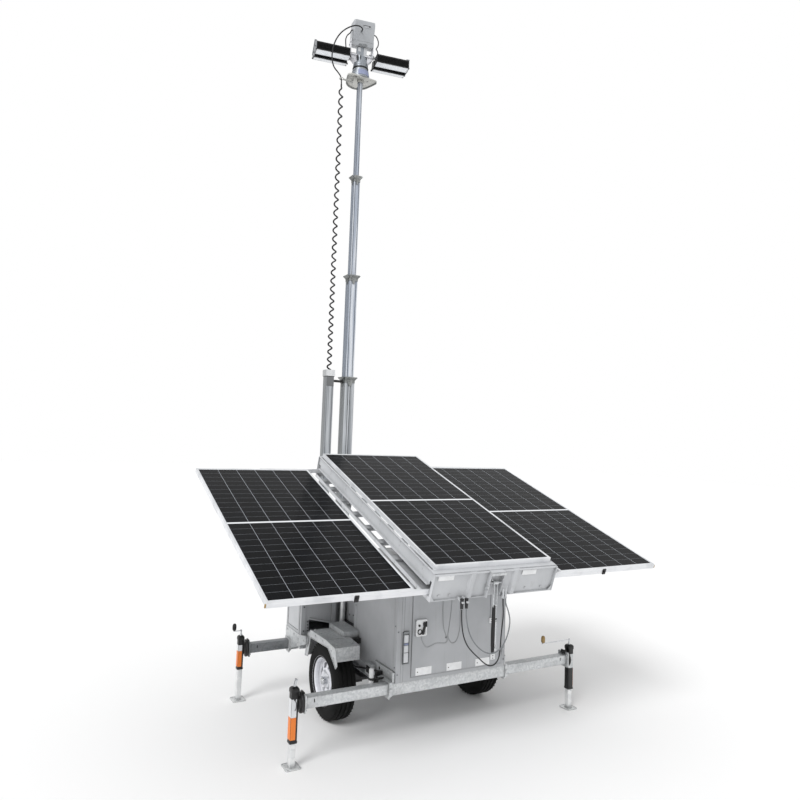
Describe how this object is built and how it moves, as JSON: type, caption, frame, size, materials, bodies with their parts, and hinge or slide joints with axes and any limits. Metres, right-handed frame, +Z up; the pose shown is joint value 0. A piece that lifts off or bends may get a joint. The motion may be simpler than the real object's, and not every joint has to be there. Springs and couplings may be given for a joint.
{
  "type": "mobile light tower",
  "caption": "Towed solar light tower: trailer with outrigger jacks, tilting array with slide-out side panels, telescopic mast and turning flood lamp head.",
  "frame": {"origin": "on the ground, in the middle of the whole object's box", "axes": "+X across the trailer to its right, +Y towards the hitch, +Z up"},
  "size_m": [3.378, 3.4948, 6.8625],
  "materials": {
    "galvanised_steel": "hot-dip galvanised",
    "grey_paint": "satin powder coat",
    "aluminium_frame": "clear anodised",
    "solar_laminate": "dark cells under glass",
    "mast_aluminium": "anodised extrusion",
    "black_steel": "gloss black paint",
    "zinc_steel": "zinc plated",
    "tyre_rubber": "matt",
    "white_steel": "white enamel",
    "lamp_body": "black die-cast",
    "cord_rubber": "matt black",
    "battery_case": "matt"
  },
  "bodies": {
    "chassis": {"chassis_frame": "galvanised_steel", "drawbar": "galvanised_steel", "coupler": "galvanised_steel", "axle": "black_steel", "leaf_springs": "black_steel", "fenders": "grey_paint", "rear_cabinet": "grey_paint", "battery_block": "battery_case", "bay_walls": "grey_paint", "front_box": "grey_paint", "tilt_brackets": "galvanised_steel", "mast_base": "mast_aluminium", "cable_post": "mast_aluminium", "curly_cord": "cord_rubber"},
    "wheel_left": {"wheel_left": "white_steel", "tyre_left": "tyre_rubber"},
    "wheel_right": {"wheel_right": "white_steel", "tyre_right": "tyre_rubber"},
    "rear_door": {"rear_door": "grey_paint"},
    "array": {"array_housing": "grey_paint", "centre_panel_frame": "aluminium_frame", "centre_panel_laminate": "solar_laminate", "dark_lead": "cord_rubber", "grey_lead": "cord_rubber"},
    "left_runners": {"left_runners": "aluminium_frame"},
    "right_runners": {"right_runners": "aluminium_frame"},
    "left_panel": {"left_panel_frame": "aluminium_frame", "left_panel_laminate": "solar_laminate"},
    "right_panel": {"right_panel_frame": "aluminium_frame", "right_panel_laminate": "solar_laminate"},
    "ram_tubes": {"tilt_ram_tubes": "zinc_steel"},
    "ram_rods": {"tilt_ram_rods": "zinc_steel"},
    "latch_strut": {"latch_strut": "zinc_steel"},
    "mast_2": {"mast_section_2": "mast_aluminium"},
    "mast_3": {"mast_section_3": "mast_aluminium"},
    "mast_4": {"mast_section_4": "mast_aluminium", "head_plate": "grey_paint", "head_lead": "cord_rubber"},
    "head": {"head_yoke": "grey_paint", "head_box": "grey_paint"},
    "lamps": {"lamp_arm": "zinc_steel", "lamps_left": "lamp_body", "lamps_right": "lamp_body"},
    "outrigger_rear_left": {"outrigger_rear_left": "galvanised_steel", "jack_rear_left": "black_steel"},
    "leg_rear_left": {"leg_rear_left": "zinc_steel"},
    "outrigger_rear_right": {"outrigger_rear_right": "galvanised_steel", "jack_rear_right": "black_steel"},
    "leg_rear_right": {"leg_rear_right": "zinc_steel"},
    "outrigger_front_left": {"outrigger_front_left": "galvanised_steel", "jack_front_left": "black_steel"},
    "leg_front_left": {"leg_front_left": "zinc_steel"},
    "outrigger_front_right": {"outrigger_front_right": "galvanised_steel", "jack_front_right": "black_steel"},
    "leg_front_right": {"leg_front_right": "zinc_steel"}
  },
  "joints": [
    {"name": "wheel_left", "type": "hinge", "parent": "chassis", "child": "wheel_left", "pos_m": [-0.702, -0.49406, 0.303], "axis": [1, 0, 0], "continuous": true},
    {"name": "wheel_right", "type": "hinge", "parent": "chassis", "child": "wheel_right", "pos_m": [0.702, -0.49406, 0.303], "axis": [1, 0, 0], "continuous": true},
    {"name": "rear_door", "type": "hinge", "parent": "chassis", "child": "rear_door", "pos_m": [0.479, -1.19135, 0.5], "axis": [0, 0, 1], "range_deg": [0, 120], "deforming": ["dark_lead", "grey_lead"]},
    {"name": "array_tilt", "type": "hinge", "parent": "chassis", "child": "array", "pos_m": [0, -1.11806, 1.33], "axis": [1, 0, 0], "range_deg": [-19, 0]},
    {"name": "ram_tube_swing", "type": "hinge", "parent": "chassis", "child": "ram_tubes", "pos_m": [0, -0.14805, 0.56], "axis": [1, 0, 0], "range_deg": [-4.33, 0.2]},
    {"name": "ram_rod_slide", "type": "slide", "parent": "ram_tubes", "child": "ram_rods", "axis": [0, 0.0092, 1], "range_m": [-0.3407, 0.004]},
    {"name": "left_runner_slide", "type": "slide", "parent": "array", "child": "left_runners", "axis": [1, 0, 0], "range_m": [0, 0.585]},
    {"name": "left_panel_slide", "type": "slide", "parent": "left_runners", "child": "left_panel", "axis": [1, 0, 0], "range_m": [0, 0.585]},
    {"name": "right_runner_slide", "type": "slide", "parent": "array", "child": "right_runners", "axis": [-1, 0, 0], "range_m": [0, 0.585]},
    {"name": "right_panel_slide", "type": "slide", "parent": "right_runners", "child": "right_panel", "axis": [-1, 0, 0], "range_m": [0, 0.585]},
    {"name": "strut_swing", "type": "hinge", "parent": "array", "child": "latch_strut", "pos_m": [-0.018, -1.6987, 1.2744], "axis": [1, 0, 0], "range_deg": [-60, 20]},
    {"name": "mast_slide_2", "type": "slide", "parent": "chassis", "child": "mast_2", "axis": [0, 0, 1], "range_m": [-1, 0], "deforming": ["curly_cord"]},
    {"name": "mast_slide_3", "type": "slide", "parent": "mast_2", "child": "mast_3", "axis": [0, 0, 1], "range_m": [-1, 0]},
    {"name": "mast_slide_4", "type": "slide", "parent": "mast_3", "child": "mast_4", "axis": [0, 0, 1], "range_m": [-1, 0]},
    {"name": "head_pan", "type": "hinge", "parent": "mast_4", "child": "head", "pos_m": [0, 0.92195, 6.361], "axis": [0, 0, 1], "range_deg": [-175, 175], "deforming": ["head_lead"]},
    {"name": "lamp_tilt", "type": "hinge", "parent": "head", "child": "lamps", "pos_m": [0, 0.92195, 6.5], "axis": [0.9816, -0.1908, 0], "range_deg": [-30, 45]},
    {"name": "outrigger_rear_left", "type": "slide", "parent": "chassis", "child": "outrigger_rear_left", "axis": [1, 0, 0], "range_m": [0, 0.3]},
    {"name": "jack_rear_left", "type": "slide", "parent": "outrigger_rear_left", "child": "leg_rear_left", "axis": [0, 0, 1], "range_m": [0, 0.15]},
    {"name": "outrigger_rear_right", "type": "slide", "parent": "chassis", "child": "outrigger_rear_right", "axis": [-1, 0, 0], "range_m": [0, 0.3]},
    {"name": "jack_rear_right", "type": "slide", "parent": "outrigger_rear_right", "child": "leg_rear_right", "axis": [0, 0, 1], "range_m": [0, 0.15]},
    {"name": "outrigger_front_left", "type": "slide", "parent": "chassis", "child": "outrigger_front_left", "axis": [1, 0, 0], "range_m": [0, 0.3]},
    {"name": "jack_front_left", "type": "slide", "parent": "outrigger_front_left", "child": "leg_front_left", "axis": [0, 0, 1], "range_m": [0, 0.15]},
    {"name": "outrigger_front_right", "type": "slide", "parent": "chassis", "child": "outrigger_front_right", "axis": [-1, 0, 0], "range_m": [0, 0.3]},
    {"name": "jack_front_right", "type": "slide", "parent": "outrigger_front_right", "child": "leg_front_right", "axis": [0, 0, 1], "range_m": [0, 0.15]}
  ],
  "couplings": [
    {"joint": "ram_tube_swing", "follows": "array_tilt", "ratio": 0.21305},
    {"joint": "ram_rod_slide", "follows": "array_tilt", "m_per_rad": 1.0073},
    {"joint": "left_panel_slide", "follows": "left_runner_slide", "ratio": 1},
    {"joint": "right_panel_slide", "follows": "right_runner_slide", "ratio": 1},
    {"joint": "mast_slide_3", "follows": "mast_slide_2", "ratio": 1},
    {"joint": "mast_slide_4", "follows": "mast_slide_2", "ratio": 1}
  ]
}
